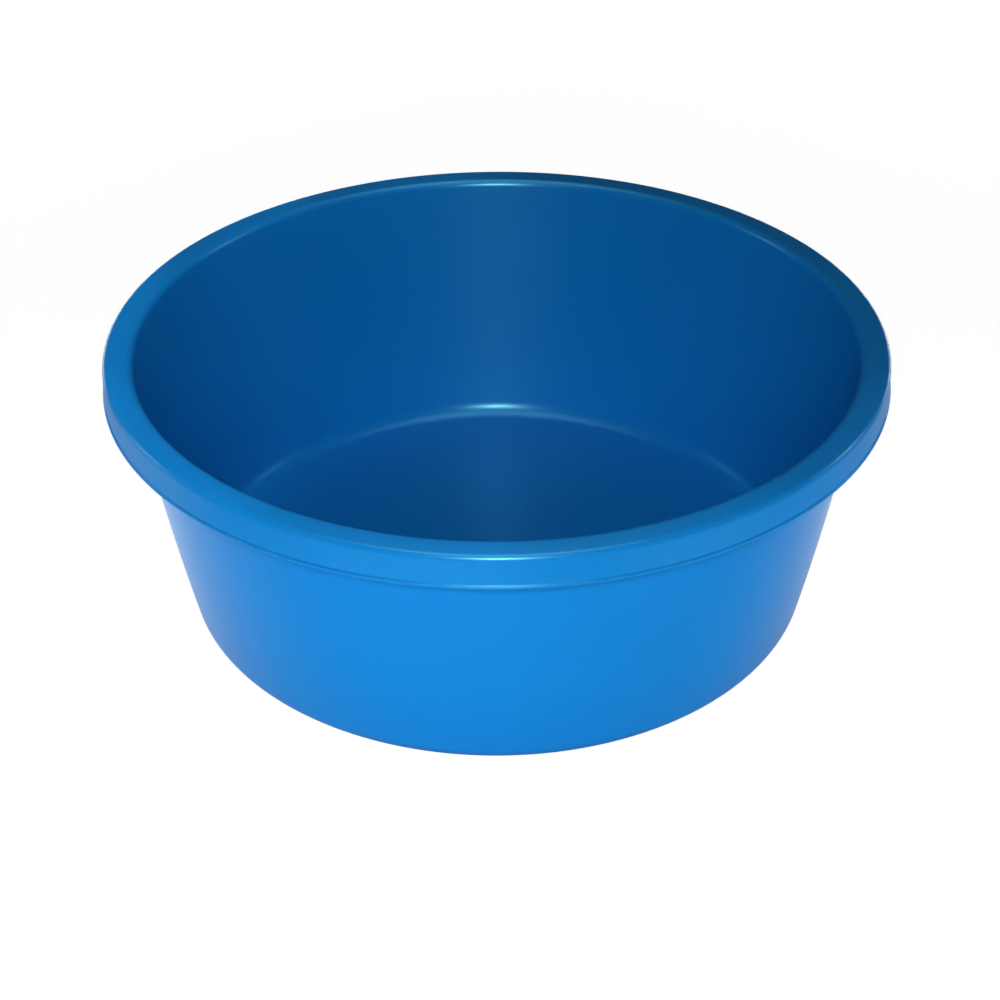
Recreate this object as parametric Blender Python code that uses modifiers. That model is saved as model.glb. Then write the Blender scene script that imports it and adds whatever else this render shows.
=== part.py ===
"""A round plastic wash basin, moulded in one piece. Metres, +Z up, standing on z = 0 about the Z axis."""
import math

import bmesh
import bpy

# Overall sizes
HEIGHT = 0.140
RIM_DIAMETER = 0.380
MOUTH_DIAMETER = 0.350
BASE_DIAMETER = 0.309

# Wall and floor: the wall swells outwards of a straight cone by WALL_SWELL at its middle
WALL = 0.0022
WALL_SWELL = 0.0017
FLOOR = 0.0020
CORNER_RADIUS = 0.009

# Foot ring under the corner, which keeps the middle of the base off the table
FOOT_HEIGHT = 0.0010
FOOT_WIDTH = 0.004
FOOT_INSET = 0.0006
FOOT_ROUND = 0.0005

# Rim: a flat flange with a skirt turned down from its outer edge, and a lip round the skirt's foot
MOUTH_ROUND = 0.0040
UNDER_ROUND = 0.0018
RIM_ROUND = 0.0025
CHANNEL_ROUND = 0.0006
SKIRT_DROP = 0.0160
SKIRT_FLARE = 0.0004
LIP_STEP = 0.0007
LIP_RADIUS = 0.0011
SKIRT_EDGE_ROUND = 0.0006

# Webs in the channel under the flange, a hand's width apart, that tie the skirt to the wall
WEB_COUNT = 12
WEB_THICKNESS = 0.0014
WEB_RECESS = 0.0035
WEB_SLOPE = 0.0020
WEB_BITE_SHARE = 0.35

# Gate mark in the middle of the underside, where the plastic entered the mould
GATE_WELL_DIAMETER = 0.016
GATE_WELL_DEPTH = 0.0006
GATE_NUB_DIAMETER = 0.0034
GATE_NUB_HEIGHT = 0.0004

# Steps round the basin, and along each arc or stretch of its section
TURN_STEPS = 96
WALL_STEPS = 4
CORNER_STEPS = 5
MOUTH_STEPS = 4
UNDER_STEPS = 2
RIM_STEPS = 4
LIP_STEPS = 5
EDGE_STEPS = 2

BLUE = (0.0137, 0.2664, 0.7305, 1.0)
ROUGHNESS = 0.28
MERGE_DISTANCE = 0.00001
SHARP_ANGLE = math.radians(35.0)
FULL_TURN = 2.0 * math.pi


class WallArc:
    """The wall's section: two concentric arcs whose centre is far over on the other side of the axis."""

    def __init__(self):
        foot = BASE_DIAMETER / 2.0
        top = MOUTH_DIAMETER / 2.0 + WALL
        run = top - foot
        half_chord = math.hypot(run, HEIGHT) / 2.0
        self.outside = (half_chord ** 2 + WALL_SWELL ** 2) / (2.0 * WALL_SWELL)
        self.inside = self.outside - WALL
        reach = (self.outside - WALL_SWELL) / (2.0 * half_chord)
        self.x = (foot + top) / 2.0 - reach * HEIGHT
        self.z = HEIGHT / 2.0 + reach * run

    def corner(self, distance, height):
        """A point at a distance from the arcs' centre and at a height above the table."""
        return self.x + math.sqrt(distance ** 2 - (height - self.z) ** 2), height

    def bearing(self, point):
        """The angle at which the arcs' centre sees a point."""
        return math.atan2(point[1] - self.z, point[0] - self.x)

    def sweep(self, radius, start, stop):
        """Points of one arc between two bearings, both left out because the corners hold them."""
        points = arc((self.x, self.z), radius, start, stop, WALL_STEPS)
        return points[1:-1]


def arc(centre, radius, start, stop, steps):
    """Points of an arc, with both its ends."""
    points = []
    for step in range(steps + 1):
        angle = start + (stop - start) * step / steps
        points.append((centre[0] + radius * math.cos(angle), centre[1] + radius * math.sin(angle)))
    return points


def inside_section(wall):
    """The inside of the bowl, from the middle of the floor up to the flange's top."""
    floor_top = FOOT_HEIGHT + FLOOR
    corner = wall.corner(wall.inside - CORNER_RADIUS, floor_top + CORNER_RADIUS)
    mouth = wall.corner(wall.inside + MOUTH_ROUND, HEIGHT - MOUTH_ROUND)
    low, high = wall.bearing(corner), wall.bearing(mouth)
    points = [(0.0, floor_top)]
    points += arc(corner, CORNER_RADIUS, -math.pi / 2.0, low, CORNER_STEPS)
    points += wall.sweep(wall.inside, low, high)
    points += arc(mouth, MOUTH_ROUND, math.pi + high, math.pi / 2.0, MOUTH_STEPS)
    return points


def skirt_foot():
    """The height of the skirt's lower edge."""
    return HEIGHT - SKIRT_DROP


def skirt_draft():
    """The angle by which the skirt leans out towards its foot."""
    return math.atan2(SKIRT_FLARE, SKIRT_DROP)


def skirt_face(height, depth):
    """The radius of the skirt's face at a height, or of the surface at a depth behind it."""
    at_foot = RIM_DIAMETER / 2.0 - LIP_STEP
    return at_foot - (height - skirt_foot()) * math.tan(skirt_draft()) - depth / math.cos(skirt_draft())


def rim_section():
    """The rim, from the flange's outer edge down the skirt, round the lip and up inside the skirt."""
    draft = skirt_draft()
    foot = skirt_foot()
    edge = (skirt_face(HEIGHT - RIM_ROUND, RIM_ROUND), HEIGHT - RIM_ROUND)
    lip = (RIM_DIAMETER / 2.0 - LIP_RADIUS, foot + LIP_RADIUS)
    lip_start = math.acos((skirt_face(lip[1] + LIP_RADIUS, 0.0) - lip[0]) / LIP_RADIUS)
    inner_edge = (skirt_face(foot + SKIRT_EDGE_ROUND, WALL - SKIRT_EDGE_ROUND), foot + SKIRT_EDGE_ROUND)
    ceiling = HEIGHT - WALL - CHANNEL_ROUND
    channel = (skirt_face(ceiling, WALL + CHANNEL_ROUND), ceiling)
    points = arc(edge, RIM_ROUND, math.pi / 2.0, draft, RIM_STEPS)
    points += arc(lip, LIP_RADIUS, lip_start, -math.pi / 2.0, LIP_STEPS)
    points += arc(inner_edge, SKIRT_EDGE_ROUND, -math.pi / 2.0, draft - math.pi, EDGE_STEPS)
    points += arc(channel, CHANNEL_ROUND, draft, math.pi / 2.0, EDGE_STEPS)
    return points


def outside_section(wall):
    """The outside of the wall, from under the flange down round the base's corner."""
    heel_radius = CORNER_RADIUS + FLOOR
    under = wall.corner(wall.outside + UNDER_ROUND, HEIGHT - WALL - UNDER_ROUND)
    heel = wall.corner(wall.outside - heel_radius, FOOT_HEIGHT + heel_radius)
    high, low = wall.bearing(under), wall.bearing(heel)
    points = arc(under, UNDER_ROUND, math.pi / 2.0, math.pi + high, UNDER_STEPS)
    points += wall.sweep(wall.outside, high, low)
    points += arc(heel, heel_radius, low, -math.pi / 2.0, CORNER_STEPS)
    return points


def underside_section(heel_radius):
    """The underside, from the base's corner over the foot ring to the gate mark in the middle."""
    ring_outside = heel_radius - FOOT_INSET
    ring_inside = ring_outside - FOOT_WIDTH
    points = [(ring_outside, FOOT_HEIGHT)]
    outer_edge = (ring_outside - FOOT_ROUND, FOOT_ROUND)
    points += arc(outer_edge, FOOT_ROUND, 0.0, -math.pi / 2.0, EDGE_STEPS)
    inner_edge = (ring_inside + FOOT_ROUND, FOOT_ROUND)
    points += arc(inner_edge, FOOT_ROUND, -math.pi / 2.0, -math.pi, EDGE_STEPS)
    points.append((ring_inside, FOOT_HEIGHT))
    well_roof = FOOT_HEIGHT + GATE_WELL_DEPTH
    nub_foot = well_roof - GATE_NUB_HEIGHT
    points.append((GATE_WELL_DIAMETER / 2.0, FOOT_HEIGHT))
    points.append((GATE_WELL_DIAMETER / 2.0 - GATE_WELL_DEPTH, well_roof))
    points.append((GATE_NUB_DIAMETER / 2.0, well_roof))
    points.append((GATE_NUB_DIAMETER / 2.0 - GATE_NUB_HEIGHT, nub_foot))
    points.append((0.0, nub_foot))
    return points


def section():
    """The basin's whole section, from the top of the floor, over the rim, to the middle of the underside."""
    wall = WallArc()
    outside = outside_section(wall)
    return inside_section(wall) + rim_section() + outside + underside_section(outside[-1][0])


def clear_scene():
    """Removes whatever the file opened with."""
    for existing in list(bpy.data.objects):
        bpy.data.objects.remove(existing, do_unlink=True)


def new_collection(name):
    """A collection linked to the scene."""
    collection = bpy.data.collections.new(name)
    bpy.context.scene.collection.children.link(collection)
    return collection


def basin_material():
    """Semi-gloss blue polypropylene."""
    material = bpy.data.materials.new("blue_polypropylene")
    material.use_nodes = True
    shader = material.node_tree.nodes["Principled BSDF"]
    shader.inputs["Base Color"].default_value = BLUE
    shader.inputs["Roughness"].default_value = ROUGHNESS
    shader.inputs["Metallic"].default_value = 0.0
    return material


def turned_shell(collection):
    """The shell without its webs: its section, turned about the Z axis."""
    points = section()
    mesh = bpy.data.meshes.new("basin_shell")
    edges = [(index, index + 1) for index in range(len(points) - 1)]
    mesh.from_pydata([(radius, 0.0, height) for radius, height in points], edges, [])
    shell = bpy.data.objects.new("basin_shell", mesh)
    collection.objects.link(shell)
    turn = shell.modifiers.new("turn", "SCREW")
    turn.axis = "Z"
    turn.angle = FULL_TURN
    turn.steps = TURN_STEPS
    turn.render_steps = TURN_STEPS
    turn.use_merge_vertices = True
    turn.merge_threshold = MERGE_DISTANCE
    return shell


def web_outline(wall):
    """One web's outline in its own plane: across the channel, and a little way into what it joins."""
    bite = WALL * WEB_BITE_SHARE
    skirt_end = skirt_foot() + WEB_RECESS
    wall_end = skirt_end - WEB_SLOPE
    top = HEIGHT - WALL + bite
    wall_foot = wall.corner(wall.outside, wall_end)[0]
    wall_top = wall.corner(wall.outside, top)[0]
    return [
        (wall_foot - bite, wall_end),
        (skirt_face(skirt_end, WALL - bite), skirt_end),
        (skirt_face(top, WALL - bite), top),
        (wall_top - bite, top),
    ]


def web_blank(collection):
    """One web as a mesh: a flat outline with half the web's thickness on each side of it."""
    curve = bpy.data.curves.new("web_outline", "CURVE")
    curve.dimensions = "2D"
    curve.fill_mode = "BOTH"
    curve.extrude = WEB_THICKNESS / 2.0
    outline = web_outline(WallArc())
    spline = curve.splines.new("POLY")
    spline.points.add(len(outline) - 1)
    spline.use_cyclic_u = True
    for point, (across, up) in zip(spline.points, outline):
        point.co = (across, up, 0.0, 1.0)
    drawing = bpy.data.objects.new("web_outline", curve)
    collection.objects.link(drawing)
    bpy.context.view_layer.update()
    evaluated = drawing.evaluated_get(bpy.context.evaluated_depsgraph_get())
    mesh = bpy.data.meshes.new_from_object(evaluated)
    bpy.data.objects.remove(drawing, do_unlink=True)
    body = bmesh.new()
    body.from_mesh(mesh)
    bmesh.ops.remove_doubles(body, verts=body.verts, dist=MERGE_DISTANCE)
    bmesh.ops.recalc_face_normals(body, faces=body.faces)
    body.to_mesh(mesh)
    body.free()
    return mesh


def add_webs(shell, collection):
    """Fuses the webs to the shell. None stands on the X or Y axis, where hands take hold of the rim."""
    mesh = web_blank(collection)
    for index in range(WEB_COUNT):
        web = bpy.data.objects.new(f"web_{index + 1}", mesh)
        web.rotation_euler = (math.pi / 2.0, 0.0, FULL_TURN * (index + 0.5) / WEB_COUNT)
        web.hide_render = True
        web.display_type = "WIRE"
        collection.objects.link(web)
    fuse = shell.modifiers.new("webs", "BOOLEAN")
    fuse.operation = "UNION"
    fuse.operand_type = "COLLECTION"
    fuse.collection = collection


def shade(shell, material):
    """Applies the modifiers, and shades the result smooth up to its sharp edges."""
    bpy.context.view_layer.update()
    evaluated = shell.evaluated_get(bpy.context.evaluated_depsgraph_get())
    mesh = bpy.data.meshes.new_from_object(evaluated)
    mesh.name = shell.name
    shell.modifiers.clear()
    shell.data = mesh
    mesh.materials.clear()
    mesh.materials.append(material)
    mesh.shade_smooth()
    mesh.set_sharp_from_angle(angle=SHARP_ANGLE)


def main():
    """Builds the basin."""
    clear_scene()
    basin = new_collection("plastic_basin")
    blanks = new_collection("cutters")
    shell = turned_shell(basin)
    add_webs(shell, blanks)
    shade(shell, basin_material())


main()
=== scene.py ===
"""The looks of a round plastic wash basin, moulded in one piece. Metres, +Z up, in the frame's own place."""
import math

import bmesh
import bpy
from mathutils import Matrix, Vector


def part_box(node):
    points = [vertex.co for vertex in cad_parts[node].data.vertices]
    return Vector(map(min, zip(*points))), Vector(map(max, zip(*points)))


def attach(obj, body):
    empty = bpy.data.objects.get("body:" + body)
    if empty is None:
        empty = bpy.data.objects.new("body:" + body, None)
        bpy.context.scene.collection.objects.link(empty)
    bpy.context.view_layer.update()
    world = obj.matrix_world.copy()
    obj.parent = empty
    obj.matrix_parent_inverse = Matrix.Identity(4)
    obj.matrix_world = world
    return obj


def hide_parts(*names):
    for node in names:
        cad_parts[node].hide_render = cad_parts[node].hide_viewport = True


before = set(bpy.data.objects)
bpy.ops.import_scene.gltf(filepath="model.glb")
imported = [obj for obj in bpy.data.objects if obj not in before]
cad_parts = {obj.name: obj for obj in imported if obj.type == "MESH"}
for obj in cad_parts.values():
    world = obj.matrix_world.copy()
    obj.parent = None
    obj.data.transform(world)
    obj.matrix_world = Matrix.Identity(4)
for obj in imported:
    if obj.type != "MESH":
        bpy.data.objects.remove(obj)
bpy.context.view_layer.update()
shell_low, shell_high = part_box("basin_shell")

# Overall sizes, as the frame has them
HEIGHT = shell_high.z - shell_low.z
RIM_DIAMETER = shell_high.x - shell_low.x
MOUTH_DIAMETER = 0.350
BASE_DIAMETER = 0.309

# Wall and floor: the wall swells outwards of a straight cone by WALL_SWELL at its middle
WALL = 0.0022
WALL_SWELL = 0.0017
FLOOR = 0.0020
CORNER_RADIUS = 0.009

# Foot ring under the corner, which keeps the middle of the base off the table
FOOT_HEIGHT = 0.0010
FOOT_WIDTH = 0.004
FOOT_INSET = 0.0006
FOOT_ROUND = 0.0005

# Rim: a flat flange with a skirt turned down from its outer edge, and a lip round the skirt's foot
MOUTH_ROUND = 0.0040
UNDER_ROUND = 0.0018
RIM_ROUND = 0.0025
CHANNEL_ROUND = 0.0006
SKIRT_DROP = 0.0160
SKIRT_FLARE = 0.0004
LIP_STEP = 0.0007
LIP_RADIUS = 0.0011
LIP_FILLET = 0.0005
SKIRT_EDGE_ROUND = 0.0006

# Webs in the channel under the flange that tie the skirt to the wall
WEB_COUNT = 12
WEB_THICKNESS = 0.0014
WEB_RECESS = 0.0035
WEB_SLOPE = 0.0020
WEB_BITE_SHARE = 0.35
WEB_EDGE_ROUND = 0.0003

# Gate mark in the middle of the underside
GATE_WELL_DIAMETER = 0.016
GATE_WELL_DEPTH = 0.0006
GATE_NUB_DIAMETER = 0.0034
GATE_NUB_HEIGHT = 0.0004

# Small rounds that a mould has at the roots and edges of its details
ROOT_ROUND = 0.0003
GATE_ROUND = 0.00015

# Steps round the basin, and along each arc or stretch of its section
TURN_STEPS = 360
WALL_STEPS = 24
CORNER_STEPS = 16
MOUTH_STEPS = 12
UNDER_STEPS = 6
RIM_STEPS = 12
LIP_STEPS = 12
EDGE_STEPS = 5
SMALL_STEPS = 3

# Camera, where it stood for the photograph
CAMERA_PLACE = Vector((0.0, -0.87063, 0.61944))
CAMERA_PITCH = 0.58477
CAMERA_YAW = 0.00146
CAMERA_ROLL = -0.00472
LENS = 73.637
SENSOR = 36.0

FULL_TURN = 2.0 * math.pi
SHARP_ANGLE = math.radians(40.0)

# Where a Mix node has its two colours and the one it gives
MIX_COLOURS = (6, 7)
MIXED_COLOUR = 2

# The plastic's blues, and the tint of its shine
FULL_BLUE = (0.0062, 0.266, 0.765, 1.0)
DEEP_BLUE = (0.0050, 0.254, 0.735, 1.0)
RUBBED_BLUE = (0.055, 0.36, 0.80, 1.0)
SPECULAR_TINT = (0.24, 0.90, 1.0, 1.0)

# Its shine, drawn out across the fine rings that turning leaves in a mould
REFRACTION = 1.49
SPECULAR_LEVEL = 0.6
BRUSHING = 0.6
QUARTER_ROUND = 0.25

# Roughness, which stays over 0.274 where it is lowest: under that the denoiser leaves flecks
ROUGHNESS = 0.295
UNEVEN = 0.02
SHEEN_SCALE = 45.0
LIP_DULLING = 0.12
FLOOR_DULLING = 0.05
MARK_DULLING = 0.12

# How many times noise is laid over itself, each time finer, where nothing else is said
NOISE_DETAIL = 2.0

# The flow and the specks in its colour
FLOW_SCALE = 16.0
FLOW_SHARE = 0.7
SPECKLE_SCALE = 240.0
TONE_DETAIL = 3.0
TONE_RANGE = (0.2, 0.8)

# Rubbed places
TOP_WEAR = 0.4
RUB_SCALE = 260.0
RUB_DETAIL = 4.0
RUB_RANGE = (0.50, 0.72)
RUBBED_SHARE = 0.28

# Relief: faint waves, a fine grain, and the floor's rings
PEEL_SCALE = 180.0
PEEL_HEIGHT = 0.000012
GRAIN_SCALE = 900.0
GRAIN_HEIGHT = 0.000001
RING_SCALE = 1300.0
RING_DETAIL = 1.0
RING_HEIGHT = 0.000006

# Hair scratches in two runs: the way each run lies, and how close it is across and along it
HAIR_RUNS = ((0.6, 900.0, 14.0), (-0.9, 700.0, 10.0))
HAIR_RANGE = (0.70, 0.78)
HAIR_DEPTH = 0.000003

# The studio: its floor, and the even light all round
WHITE = (1.0, 1.0, 1.0, 1.0)
FLOOR_RADIUS = 12.0
FLOOR_SIDES = 96
FLOOR_COLOUR = (0.86, 0.86, 0.85, 1.0)
FLOOR_ROUGHNESS = 0.8
WORLD_LIGHT = 0.032

# What the basin's gloss sees of the floor, as light the floor gives off to reflections only: dim in front,
# white behind, and less of it far out
FLOOR_SHINE_FRONT = 0.03
FLOOR_SHINE_BACK = 1.0
SHINE_SLANT = 0.12
SHINE_START = -0.17
SHINE_FULL = 0.06
SHINE_NEAR = 0.25
SHINE_FAR = 0.35
SHINE_AWAY = 0.25

# What the camera sees of the floor: mostly its own white, with the shadow fading out from the basin
FLOOR_GLOW = 0.91
SHADOW_SHARE = 0.50
SHADOW_NEAR = 0.45
SHADOW_FAR = 1.0

# A lamp's beam when nothing narrows it, in degrees
OPEN_BEAM = 180.0

# Lamps, aimed at the basin's middle, or at the mouth's height where a last value puts the aim off the axis.
# Bearings run from the front towards the right, in degrees. The values are the name, bearing, distance out,
# height, width, how tall, power, what it lights, beam, and aim off the axis
LAMPS = (
    ("flash", 0.0, 0.87, 0.68, 0.14, 0.07, 3.2, "both", OPEN_BEAM),
    ("glint", 0.0, 0.87, 0.68, 0.14, 0.07, 6.8, "gloss", OPEN_BEAM),
    ("fill", 0.0, 0.87, 0.46, 0.30, 0.12, 0.72, "matt", OPEN_BEAM),
    ("hot_spot", 0.0, 0.87, 0.68, 0.14, 0.07, 0.0085, "matt", 16.0),
    ("top", 180.0, 0.05, 1.09, 0.50, 0.80, 3.4, "gloss", OPEN_BEAM),
    ("window_left", -105.0, 0.95, 0.55, 0.20, 0.10, 0.8, "gloss", OPEN_BEAM),
    ("window_right", 105.0, 0.95, 0.55, 0.20, 0.10, 0.8, "gloss", OPEN_BEAM),
    ("floor_spot", 180.0, 0.10, 0.60, 0.012, 0.08, 0.0004, "matt", 5.0, 0.082),
    ("side_left", -95.0, 1.0, 0.07, 0.7, 0.12, 0.5, "both", OPEN_BEAM),
    ("back_left", -150.0, 1.1, 0.07, 0.9, 0.12, 2.4, "both", OPEN_BEAM),
    ("back_right", 145.0, 1.1, 0.07, 0.9, 0.12, 2.2, "both", OPEN_BEAM),
)

# Low fills round the front, aimed up at the rim's edge: each one's bearing and power, and their sizes
LOW_FILLS = ((-85.0, 0.27), (-50.0, 0.06), (-15.0, 0.18), (45.0, 0.155), (85.0, 0.21))
LOW_DISTANCE = 0.36
LOW_HEIGHT = 0.03
LOW_WIDTH = 0.24
LOW_TALL = 0.05

# Small fills all round, over the rim: their powers, from the back by way of the left and the front
RIM_FILLS = (0.0038, 0.0062, 0.0090, 0.0099, 0.0071, 0.0049, 0.0027, 0.0013, 0.0010, 0.0010)
RIM_FILL_DISTANCE = 0.172
RIM_FILL_HEIGHT = 0.21
RIM_FILL_WIDTH = 0.13
RIM_FILL_TALL = 0.03
RIM_FILL_BEAM = 64.0


class WallArc:
    """The wall's section: two concentric arcs whose centre is far over on the other side of the axis."""

    def __init__(self):
        foot = BASE_DIAMETER / 2.0
        top = MOUTH_DIAMETER / 2.0 + WALL
        run = top - foot
        half_chord = math.hypot(run, HEIGHT) / 2.0
        self.outside = (half_chord ** 2 + WALL_SWELL ** 2) / (2.0 * WALL_SWELL)
        self.inside = self.outside - WALL
        reach = (self.outside - WALL_SWELL) / (2.0 * half_chord)
        self.x = (foot + top) / 2.0 - reach * HEIGHT
        self.z = HEIGHT / 2.0 + reach * run

    def corner(self, distance, height):
        """A point at a distance from the arcs' centre and at a height above the table."""
        return self.x + math.sqrt(distance ** 2 - (height - self.z) ** 2), height

    def bearing(self, point):
        """The angle at which the arcs' centre sees a point."""
        return math.atan2(point[1] - self.z, point[0] - self.x)

    def sweep(self, radius, start, stop):
        """Points of one arc between two bearings, both left out because the corners hold them."""
        points = arc((self.x, self.z), radius, start, stop, WALL_STEPS)
        return points[1:-1]


def arc(centre, radius, start, stop, steps):
    """Points of an arc, with both its ends."""
    points = []
    for step in range(steps + 1):
        angle = start + (stop - start) * step / steps
        points.append((centre[0] + radius * math.cos(angle), centre[1] + radius * math.sin(angle)))
    return points


def rounded(points):
    """A run of a section in which each corner given as (radius out, height, round) becomes an arc."""
    run = []
    for index, point in enumerate(points):
        if len(point) == 2:
            run.append(point)
            continue
        here = Vector(point[:2])
        back = (Vector(points[index - 1][:2]) - here).normalized()
        ahead = (Vector(points[index + 1][:2]) - here).normalized()
        half = back.angle(ahead) / 2.0
        centre = here + (back + ahead).normalized() * point[2] / math.sin(half)
        reach = point[2] / math.tan(half)
        start = here + back * reach - centre
        stop = here + ahead * reach - centre
        first = math.atan2(start.y, start.x)
        turn = (math.atan2(stop.y, stop.x) - first + math.pi) % FULL_TURN - math.pi
        run += arc(centre, point[2], first, first + turn, SMALL_STEPS)
    return run


def inside_section(wall):
    """The inside of the bowl, from the middle of the floor up to the flange's top."""
    floor_top = FOOT_HEIGHT + FLOOR
    corner = wall.corner(wall.inside - CORNER_RADIUS, floor_top + CORNER_RADIUS)
    mouth = wall.corner(wall.inside + MOUTH_ROUND, HEIGHT - MOUTH_ROUND)
    low, high = wall.bearing(corner), wall.bearing(mouth)
    points = [(0.0, floor_top)]
    points += arc(corner, CORNER_RADIUS, -math.pi / 2.0, low, CORNER_STEPS)
    points += wall.sweep(wall.inside, low, high)
    points += arc(mouth, MOUTH_ROUND, math.pi + high, math.pi / 2.0, MOUTH_STEPS)
    return points


def skirt_foot():
    """The height of the skirt's lower edge."""
    return HEIGHT - SKIRT_DROP


def skirt_draft():
    """The angle by which the skirt leans out towards its foot."""
    return math.atan2(SKIRT_FLARE, SKIRT_DROP)


def skirt_face(height, depth):
    """The radius of the skirt's face at a height, or of the surface at a depth behind it."""
    at_foot = RIM_DIAMETER / 2.0 - LIP_STEP
    return at_foot - (height - skirt_foot()) * math.tan(skirt_draft()) - depth / math.cos(skirt_draft())


def lip_fillet(lip):
    """The centre of the small arc that is tangent to the skirt's face and to the lip's round."""
    draft = skirt_draft()
    out = Vector((math.cos(draft), math.sin(draft)))
    up = Vector((-math.sin(draft), math.cos(draft)))
    ahead = (lip - Vector((skirt_face(lip.y, 0.0), lip.y))).dot(out)
    across = LIP_FILLET - ahead
    along = math.sqrt((LIP_RADIUS + LIP_FILLET) ** 2 - across ** 2)
    return lip + out * across + up * along


def rim_section():
    """The rim, from the flange's outer edge down the skirt, round the lip and up inside the skirt."""
    draft = skirt_draft()
    foot = skirt_foot()
    edge = (skirt_face(HEIGHT - RIM_ROUND, RIM_ROUND), HEIGHT - RIM_ROUND)
    lip = Vector((RIM_DIAMETER / 2.0 - LIP_RADIUS, foot + LIP_RADIUS))
    fillet = lip_fillet(lip)
    lip_start = math.atan2(fillet.y - lip.y, fillet.x - lip.x)
    inner_edge = (skirt_face(foot + SKIRT_EDGE_ROUND, WALL - SKIRT_EDGE_ROUND), foot + SKIRT_EDGE_ROUND)
    ceiling = HEIGHT - WALL - CHANNEL_ROUND
    channel = (skirt_face(ceiling, WALL + CHANNEL_ROUND), ceiling)
    points = arc(edge, RIM_ROUND, math.pi / 2.0, draft, RIM_STEPS)
    points += arc(fillet, LIP_FILLET, math.pi + draft, math.pi + lip_start, EDGE_STEPS)
    points += arc(lip, LIP_RADIUS, lip_start, -math.pi / 2.0, LIP_STEPS)[1:]
    points += arc(inner_edge, SKIRT_EDGE_ROUND, -math.pi / 2.0, draft - math.pi, EDGE_STEPS)
    points += arc(channel, CHANNEL_ROUND, draft, math.pi / 2.0, EDGE_STEPS)
    return points


def outside_section(wall):
    """The outside of the wall, from under the flange down round the base's corner."""
    heel_radius = CORNER_RADIUS + FLOOR
    under = wall.corner(wall.outside + UNDER_ROUND, HEIGHT - WALL - UNDER_ROUND)
    heel = wall.corner(wall.outside - heel_radius, FOOT_HEIGHT + heel_radius)
    high, low = wall.bearing(under), wall.bearing(heel)
    points = arc(under, UNDER_ROUND, math.pi / 2.0, math.pi + high, UNDER_STEPS)
    points += wall.sweep(wall.outside, high, low)
    points += arc(heel, heel_radius, low, -math.pi / 2.0, CORNER_STEPS)
    return points


def underside_section(heel_radius):
    """The underside, from the base's corner over the foot ring to the gate mark in the middle."""
    ring_outside = heel_radius - FOOT_INSET
    ring_inside = ring_outside - FOOT_WIDTH
    heel = rounded([(heel_radius, FOOT_HEIGHT), (ring_outside, FOOT_HEIGHT, ROOT_ROUND), (ring_outside, 0.0)])
    points = heel[1:-1]
    outer_edge = (ring_outside - FOOT_ROUND, FOOT_ROUND)
    points += arc(outer_edge, FOOT_ROUND, 0.0, -math.pi / 2.0, EDGE_STEPS)
    inner_edge = (ring_inside + FOOT_ROUND, FOOT_ROUND)
    points += arc(inner_edge, FOOT_ROUND, -math.pi / 2.0, -math.pi, EDGE_STEPS)
    well_roof = FOOT_HEIGHT + GATE_WELL_DEPTH
    nub_foot = well_roof - GATE_NUB_HEIGHT
    middle = rounded([
        (ring_inside, 0.0),
        (ring_inside, FOOT_HEIGHT, ROOT_ROUND),
        (GATE_WELL_DIAMETER / 2.0, FOOT_HEIGHT, ROOT_ROUND),
        (GATE_WELL_DIAMETER / 2.0 - GATE_WELL_DEPTH, well_roof, ROOT_ROUND),
        (GATE_NUB_DIAMETER / 2.0, well_roof, GATE_ROUND),
        (GATE_NUB_DIAMETER / 2.0 - GATE_NUB_HEIGHT, nub_foot, GATE_ROUND),
        (0.0, nub_foot),
    ])
    return points + middle[1:]


def section():
    """The basin's whole section, from the top of the floor, over the rim, to the middle of the underside."""
    wall = WallArc()
    outside = outside_section(wall)
    return inside_section(wall) + rim_section() + outside + underside_section(outside[-1][0])


def turned_mesh(name, points):
    """A closed body turned about the Z axis from a section whose two ends are on the axis."""
    body = bmesh.new()
    first = body.verts.new((0.0, 0.0, points[0][1]))
    last = body.verts.new((0.0, 0.0, points[-1][1]))
    rings = []
    for radius, height in points[1:-1]:
        ring = []
        for step in range(TURN_STEPS):
            angle = FULL_TURN * step / TURN_STEPS
            ring.append(body.verts.new((radius * math.cos(angle), radius * math.sin(angle), height)))
        rings.append(ring)
    for step in range(TURN_STEPS):
        after = (step + 1) % TURN_STEPS
        body.faces.new((first, rings[0][step], rings[0][after]))
        for inner, outer in zip(rings, rings[1:]):
            body.faces.new((inner[step], outer[step], outer[after], inner[after]))
        body.faces.new((rings[-1][step], last, rings[-1][after]))
    bmesh.ops.recalc_face_normals(body, faces=body.faces)
    mesh = bpy.data.meshes.new(name)
    body.to_mesh(mesh)
    body.free()
    return mesh


def web_outline(wall):
    """One web's outline in its own plane: across the channel, and a little way into what it joins."""
    bite = WALL * WEB_BITE_SHARE
    skirt_end = skirt_foot() + WEB_RECESS
    wall_end = skirt_end - WEB_SLOPE
    top = HEIGHT - WALL + bite
    wall_foot = wall.corner(wall.outside, wall_end)[0]
    wall_top = wall.corner(wall.outside, top)[0]
    return [
        (wall_foot - bite, wall_end),
        (skirt_face(skirt_end, WALL - bite), skirt_end),
        (skirt_face(top, WALL - bite), top),
        (wall_top - bite, top),
    ]


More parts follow.
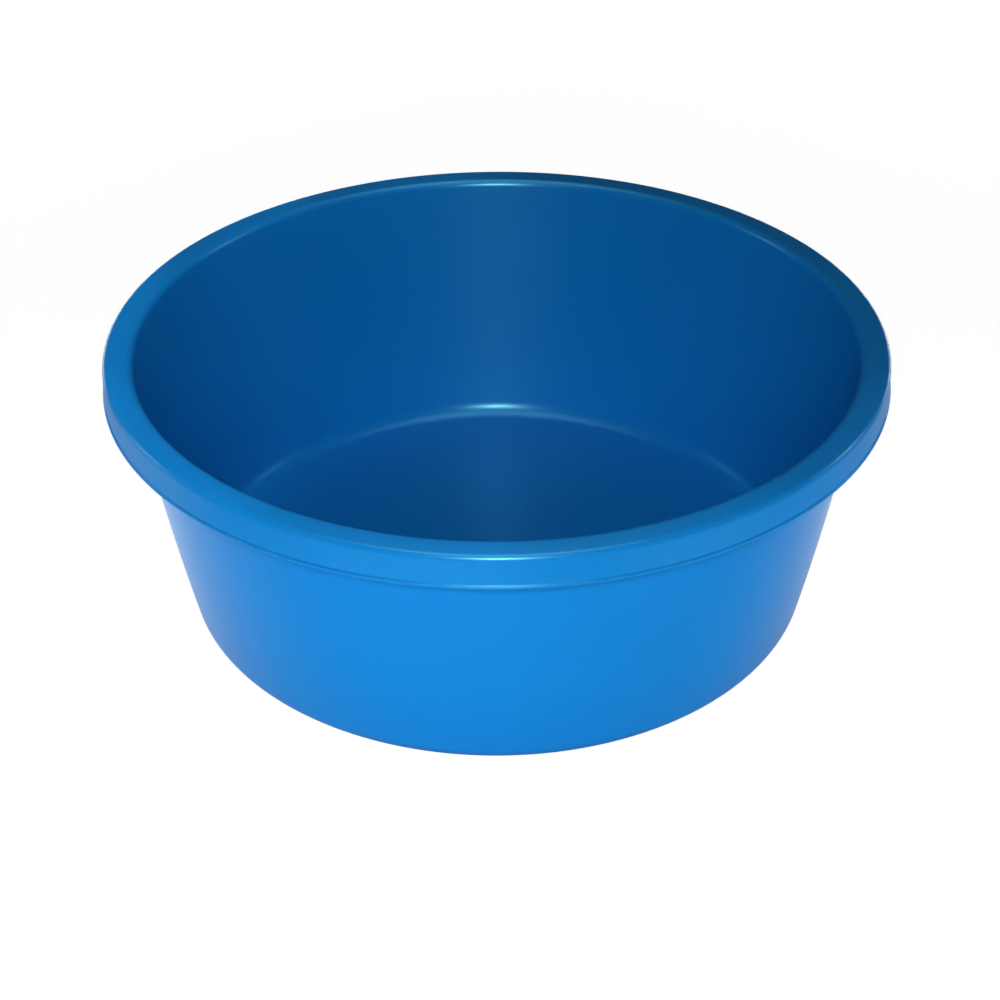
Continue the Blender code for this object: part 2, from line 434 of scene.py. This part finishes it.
def webs_mesh():
    """All the webs, each a flat outline with half its thickness on each side and its lower edges rounded."""
    outline = web_outline(WallArc())
    body = bmesh.new()
    for index in range(WEB_COUNT):
        angle = FULL_TURN * (index + 0.5) / WEB_COUNT
        out = Vector((math.cos(angle), math.sin(angle), 0.0))
        aside = Vector((-math.sin(angle), math.cos(angle), 0.0)) * WEB_THICKNESS / 2.0
        sides = []
        for offset in (aside, -aside):
            places = [out * across + offset + Vector((0.0, 0.0, up)) for across, up in outline]
            sides.append([body.verts.new(place) for place in places])
        near, far = sides
        body.faces.new(near)
        body.faces.new(far[::-1])
        for step in range(len(outline)):
            after = (step + 1) % len(outline)
            body.faces.new((near[after], near[step], far[step], far[after]))
        lower = [body.edges.get((side[0], side[1])) for side in sides]
        bmesh.ops.bevel(body, geom=lower, offset=WEB_EDGE_ROUND, segments=SMALL_STEPS, affect="EDGES")
    bmesh.ops.recalc_face_normals(body, faces=body.faces)
    mesh = bpy.data.meshes.new("webs")
    body.to_mesh(mesh)
    body.free()
    return mesh


def fuse(thing, mesh):
    """Fuses a second mesh to an object, for good."""
    other = link(bpy.data.objects.new("second", mesh))
    joint = thing.modifiers.new("joint", "BOOLEAN")
    joint.operation = "UNION"
    joint.solver = "EXACT"
    joint.object = other
    bpy.context.view_layer.update()
    evaluated = thing.evaluated_get(bpy.context.evaluated_depsgraph_get())
    fused = bpy.data.meshes.new_from_object(evaluated)
    thing.modifiers.clear()
    thing.data = fused
    bpy.data.objects.remove(other, do_unlink=True)


def link(thing):
    """Links an object to the scene."""
    bpy.context.scene.collection.objects.link(thing)
    return thing


class Shading:
    """A material's node tree, with short ways to add the few kinds of node that it needs."""

    def __init__(self, name):
        self.material = bpy.data.materials.new(name)
        self.material.use_nodes = True
        self.tree = self.material.node_tree
        self.shader = self.tree.nodes["Principled BSDF"]

    def node(self, kind, **settings):
        """A new node with the given settings."""
        node = self.tree.nodes.new(kind)
        for name, value in settings.items():
            setattr(node, name, value)
        return node

    def feed(self, socket, value):
        """Links an output to a socket, or sets the socket to a plain value."""
        if isinstance(value, bpy.types.NodeSocket):
            self.tree.links.new(value, socket)
        else:
            socket.default_value = value

    def math(self, operation, *values):
        """A sum, product or the like of values."""
        node = self.node("ShaderNodeMath", operation=operation)
        for socket, value in zip(node.inputs, values):
            self.feed(socket, value)
        return node.outputs[0]

    def span(self, value, low, high, out_low=0.0, out_high=1.0):
        """A value's stretch from low to high, spread over another stretch and held at its ends."""
        node = self.node("ShaderNodeMapRange")
        for socket, given in zip(node.inputs, (value, low, high, out_low, out_high)):
            self.feed(socket, given)
        return node.outputs["Result"]

    def noise(self, place, scale, detail=NOISE_DETAIL):
        """Soft noise over a place."""
        node = self.node("ShaderNodeTexNoise")
        self.feed(node.inputs["Vector"], place)
        node.inputs["Scale"].default_value = scale
        node.inputs["Detail"].default_value = detail
        return node.outputs["Fac"]

    def rings(self, radius, scale):
        """Fine uneven rings round the axis."""
        node = self.node("ShaderNodeTexNoise", noise_dimensions="1D")
        self.feed(node.inputs["W"], radius)
        node.inputs["Scale"].default_value = scale
        node.inputs["Detail"].default_value = RING_DETAIL
        return node.outputs["Fac"]

    def stretched(self, place, turn, scale):
        """A place's coordinates turned about Z and stretched, for marks that run one way."""
        node = self.node("ShaderNodeMapping")
        self.feed(node.inputs["Vector"], place)
        node.inputs["Rotation"].default_value = (0.0, 0.0, turn)
        node.inputs["Scale"].default_value = scale
        return node.outputs["Vector"]

    def blend(self, share, first, second):
        """A colour between two, by a share."""
        node = self.node("ShaderNodeMix", data_type="RGBA")
        self.feed(node.inputs["Factor"], share)
        for index, colour in zip(MIX_COLOURS, (first, second)):
            self.feed(node.inputs[index], colour)
        return node.outputs[MIXED_COLOUR]

    def bump(self, height, distance, before=None):
        """A normal bent by a height, on top of another one."""
        node = self.node("ShaderNodeBump")
        self.feed(node.inputs["Height"], height)
        node.inputs["Distance"].default_value = distance
        if before:
            self.feed(node.inputs["Normal"], before)
        return node.outputs["Normal"]

    def glow(self, strength):
        """White light that the surface gives off itself."""
        node = self.node("ShaderNodeEmission")
        self.feed(node.inputs["Strength"], strength)
        return node.outputs[0]

    def mix(self, share, first, second):
        """A surface between two, by a share. Nothing in the place of one stands for black."""
        node = self.node("ShaderNodeMixShader")
        self.feed(node.inputs[0], share)
        for socket, surface in ((node.inputs[1], first), (node.inputs[2], second)):
            if surface:
                self.feed(socket, surface)
        return node.outputs[0]


def worn_places(it, place, radius, height, lip):
    """How rubbed each place is: the lip, the rim's top edge and the foot, in patches."""
    rim = RIM_DIAMETER / 2.0
    near_top = it.span(height, HEIGHT - RIM_ROUND / 3.0, HEIGHT)
    near_edge = it.span(radius, rim - 2.0 * RIM_ROUND, rim - RIM_ROUND)
    top = it.math("MULTIPLY", it.math("MULTIPLY", near_top, near_edge), TOP_WEAR)
    foot = it.span(height, FOOT_ROUND, 0.0)
    zones = it.math("MAXIMUM", it.math("MAXIMUM", lip, top), foot)
    patches = it.span(it.noise(place, RUB_SCALE, RUB_DETAIL), *RUB_RANGE)
    return it.math("MULTIPLY", zones, patches)


def floor_flat(it, radius, height):
    """The flat of the floor, fading out just before the corner's curve."""
    floor_top = FOOT_HEIGHT + FLOOR
    corner = BASE_DIAMETER / 2.0 - WALL - CORNER_RADIUS
    low = it.span(height, floor_top + FLOOR / 2.0, floor_top + FLOOR / 10.0)
    inner = it.span(radius, corner + CORNER_RADIUS / 3.0, corner - CORNER_RADIUS / 3.0)
    return it.math("MULTIPLY", low, inner)


def hair_scratches(it, place, flat):
    """Fine straight scratches that run two ways over the floor."""
    runs = []
    for turn, across, along in HAIR_RUNS:
        runs.append(it.noise(it.stretched(place, turn, (across, along, along)), 1.0))
    return it.math("MULTIPLY", it.span(it.math("MAXIMUM", *runs), *HAIR_RANGE), flat)


def moulded_colour(it, place, rubbed):
    """The plastic's blue, with the faint flow of the melt and fine specks in it, paler where it is rubbed."""
    flow = it.noise(place, FLOW_SCALE, TONE_DETAIL)
    speckle = it.noise(place, SPECKLE_SCALE, TONE_DETAIL)
    parts = it.math("MULTIPLY", flow, FLOW_SHARE), it.math("MULTIPLY", speckle, 1.0 - FLOW_SHARE)
    colour = it.blend(it.span(it.math("ADD", *parts), *TONE_RANGE), DEEP_BLUE, FULL_BLUE)
    return it.blend(it.math("MULTIPLY", rubbed, RUBBED_SHARE), colour, RUBBED_BLUE)


def moulded_roughness(it, place, lip, flat, marks):
    """How dull the plastic is: uneven, and duller on the lip, on the floor and where it is marked."""
    rough = it.math("MULTIPLY_ADD", it.noise(place, SHEEN_SCALE), 2.0 * UNEVEN, ROUGHNESS - UNEVEN)
    for zone, extra in ((lip, LIP_DULLING), (flat, FLOOR_DULLING), (marks, MARK_DULLING)):
        rough = it.math("ADD", rough, it.math("MULTIPLY", zone, extra))
    return rough


def relief(it, place, radius, flat, hair):
    """The surface's relief: faint waves, a fine grain, and rings and scratches on the floor."""
    rings = it.math("MULTIPLY", it.rings(radius, RING_SCALE), flat)
    normal = it.bump(it.noise(place, PEEL_SCALE), PEEL_HEIGHT)
    normal = it.bump(it.noise(place, GRAIN_SCALE), GRAIN_HEIGHT, normal)
    normal = it.bump(rings, RING_HEIGHT, normal)
    return it.bump(hair, -HAIR_DEPTH, normal)


def basin_material():
    """Semi-gloss blue polypropylene, as moulded, with the light marks of handling."""
    it = Shading("blue_polypropylene_moulded")
    place = it.node("ShaderNodeTexCoord").outputs["Object"]
    apart = it.node("ShaderNodeSeparateXYZ")
    it.feed(apart.inputs[0], place)
    x, y, height = apart.outputs
    radius = it.math("SQRT", it.math("ADD", it.math("MULTIPLY", x, x), it.math("MULTIPLY", y, y)))

    lip = it.span(radius, RIM_DIAMETER / 2.0 - LIP_RADIUS, RIM_DIAMETER / 2.0)
    flat = floor_flat(it, radius, height)
    rubbed = worn_places(it, place, radius, height, lip)
    hair = hair_scratches(it, place, flat)
    marks = it.math("MAXIMUM", rubbed, hair)
    it.feed(it.shader.inputs["Base Color"], moulded_colour(it, place, rubbed))
    it.feed(it.shader.inputs["Roughness"], moulded_roughness(it, place, lip, flat, marks))
    it.feed(it.shader.inputs["Normal"], relief(it, place, radius, flat, hair))

    round_axis = it.node("ShaderNodeTangent", direction_type="RADIAL", axis="Z")
    it.feed(it.shader.inputs["Tangent"], round_axis.outputs[0])
    it.shader.inputs["Anisotropic"].default_value = BRUSHING
    it.shader.inputs["Anisotropic Rotation"].default_value = QUARTER_ROUND
    it.shader.inputs["IOR"].default_value = REFRACTION
    it.shader.inputs["Specular IOR Level"].default_value = SPECULAR_LEVEL
    it.shader.inputs["Specular Tint"].default_value = SPECULAR_TINT
    return it.material


def make_basin():
    """The basin, in the place of its CAD node."""
    basin = link(bpy.data.objects.new("basin", turned_mesh("basin", section())))
    fuse(basin, webs_mesh())
    basin.data.shade_smooth()
    basin.data.set_sharp_from_angle(angle=SHARP_ANGLE)
    basin.data.materials.append(basin_material())
    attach(basin, "root")
    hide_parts("basin_shell")
    return basin


def make_camera():
    """The photograph's camera."""
    forward = Vector((
        math.sin(CAMERA_YAW) * math.cos(CAMERA_PITCH),
        math.cos(CAMERA_YAW) * math.cos(CAMERA_PITCH),
        -math.sin(CAMERA_PITCH),
    ))
    level = Vector((math.cos(CAMERA_YAW), -math.sin(CAMERA_YAW), 0.0))
    upright = level.cross(forward)
    right = level * math.cos(CAMERA_ROLL) + upright * math.sin(CAMERA_ROLL)
    up = upright * math.cos(CAMERA_ROLL) - level * math.sin(CAMERA_ROLL)
    lens = bpy.data.cameras.new("camera")
    lens.lens = LENS
    lens.sensor_width = SENSOR
    camera = link(bpy.data.objects.new("camera", lens))
    turn = Matrix((right, up, -forward)).transposed()
    camera.matrix_world = Matrix.Translation(CAMERA_PLACE) @ turn.to_4x4()
    bpy.context.scene.camera = camera


def make_world():
    """White behind everything for the camera, and a weak even light for all else."""
    world = bpy.data.worlds.new("studio")
    bpy.context.scene.world = world
    world.use_nodes = True
    tree = world.node_tree
    lit = tree.nodes["Background"]
    lit.inputs["Color"].default_value = WHITE
    lit.inputs["Strength"].default_value = WORLD_LIGHT
    seen = tree.nodes.new("ShaderNodeBackground")
    seen.inputs["Color"].default_value = WHITE
    path = tree.nodes.new("ShaderNodeLightPath")
    mix = tree.nodes.new("ShaderNodeMixShader")
    tree.links.new(path.outputs["Is Camera Ray"], mix.inputs[0])
    tree.links.new(lit.outputs[0], mix.inputs[1])
    tree.links.new(seen.outputs[0], mix.inputs[2])
    tree.links.new(mix.outputs[0], tree.nodes["World Output"].inputs["Surface"])


def floor_material():
    """White to the camera but for a soft shadow; to the basin's gloss only it gives off light of its own,
    more behind the basin than in front.
    """
    it = Shading("pale_floor")
    it.shader.inputs["Base Color"].default_value = FLOOR_COLOUR
    it.shader.inputs["Roughness"].default_value = FLOOR_ROUGHNESS
    it.shader.inputs["Specular IOR Level"].default_value = 0.0
    plain = it.shader.outputs[0]
    place = it.node("ShaderNodeTexCoord").outputs["Object"]
    apart = it.node("ShaderNodeSeparateXYZ")
    it.feed(apart.inputs[0], place)
    x, y, _ = apart.outputs
    length = it.node("ShaderNodeVectorMath", operation="LENGTH")
    it.feed(length.inputs[0], place)
    far = length.outputs["Value"]
    # The floor's glow that only the basin's gloss sees: light given off, strongest behind the basin
    behind = it.math("SUBTRACT", y, it.math("MULTIPLY", x, SHINE_SLANT))
    shine = it.span(behind, SHINE_START, SHINE_FULL, FLOOR_SHINE_FRONT, FLOOR_SHINE_BACK)
    shine = it.glow(it.math("MULTIPLY", shine, it.span(far, SHINE_NEAR, SHINE_FAR, 1.0, SHINE_AWAY)))
    seen = it.node("ShaderNodeAddShader")
    it.feed(seen.inputs[0], it.glow(it.span(far, SHADOW_NEAR, SHADOW_FAR, FLOOR_GLOW, 1.0)))
    it.feed(seen.inputs[1], it.mix(it.span(far, SHADOW_NEAR, SHADOW_FAR, SHADOW_SHARE, 0.0), None, plain))
    path = it.node("ShaderNodeLightPath").outputs
    unseen = it.mix(path["Is Glossy Ray"], plain, shine)
    surface = it.mix(path["Is Camera Ray"], unseen, seen.outputs[0])
    it.feed(it.tree.nodes["Material Output"].inputs["Surface"], surface)
    return it.material


def make_floor():
    """A plain floor that keeps the basin's soft shadow."""
    mesh = bpy.data.meshes.new("floor")
    body = bmesh.new()
    bmesh.ops.create_circle(body, cap_ends=True, segments=FLOOR_SIDES, radius=FLOOR_RADIUS)
    body.to_mesh(mesh)
    body.free()
    mesh.materials.append(floor_material())
    floor = link(bpy.data.objects.new("floor", mesh))


def make_lamp(name, bearing, distance, height, width, tall, power, role, beam, aim_radius=0.0):
    """A soft lamp that faces the basin's middle, or a place off the axis at the rim's height."""
    light = bpy.data.lights.new(name, "AREA")
    light.shape = "RECTANGLE"
    light.size = width
    light.size_y = tall
    light.energy = power
    light.spread = math.radians(beam)
    lamp = link(bpy.data.objects.new(name, light))
    side = math.radians(bearing)
    outwards = Vector((math.sin(side), -math.cos(side), 0.0))
    lamp.location = outwards * distance + Vector((0.0, 0.0, height))
    aim_height = HEIGHT if aim_radius else HEIGHT / 2.0
    aim = outwards * aim_radius + Vector((0.0, 0.0, aim_height)) - lamp.location
    lamp.rotation_mode = "QUATERNION"
    lamp.rotation_quaternion = aim.to_track_quat("-Z", "Y")
    lamp.visible_camera = False
    lamp.visible_glossy = role != "matt"
    lamp.visible_diffuse = role != "gloss"


def make_lamps():
    """All the lamps: the far ones, the low fills and the fills over the rim."""
    for values in LAMPS:
        make_lamp(*values)
    rim = RIM_DIAMETER / 2.0
    for bearing, power in LOW_FILLS:
        sizes = LOW_DISTANCE, LOW_HEIGHT, LOW_WIDTH, LOW_TALL
        make_lamp("low", bearing, *sizes, power, "matt", OPEN_BEAM, rim)
    for index, power in enumerate(RIM_FILLS):
        bearing = 360.0 * (index + 0.5) / len(RIM_FILLS) - 180.0
        sizes = RIM_FILL_DISTANCE, RIM_FILL_HEIGHT, RIM_FILL_WIDTH, RIM_FILL_TALL
        make_lamp("rim", bearing, *sizes, power, "matt", RIM_FILL_BEAM, rim)


make_basin()
make_floor()
make_camera()
make_world()
make_lamps()
bpy.context.scene.view_settings.view_transform = "Standard"
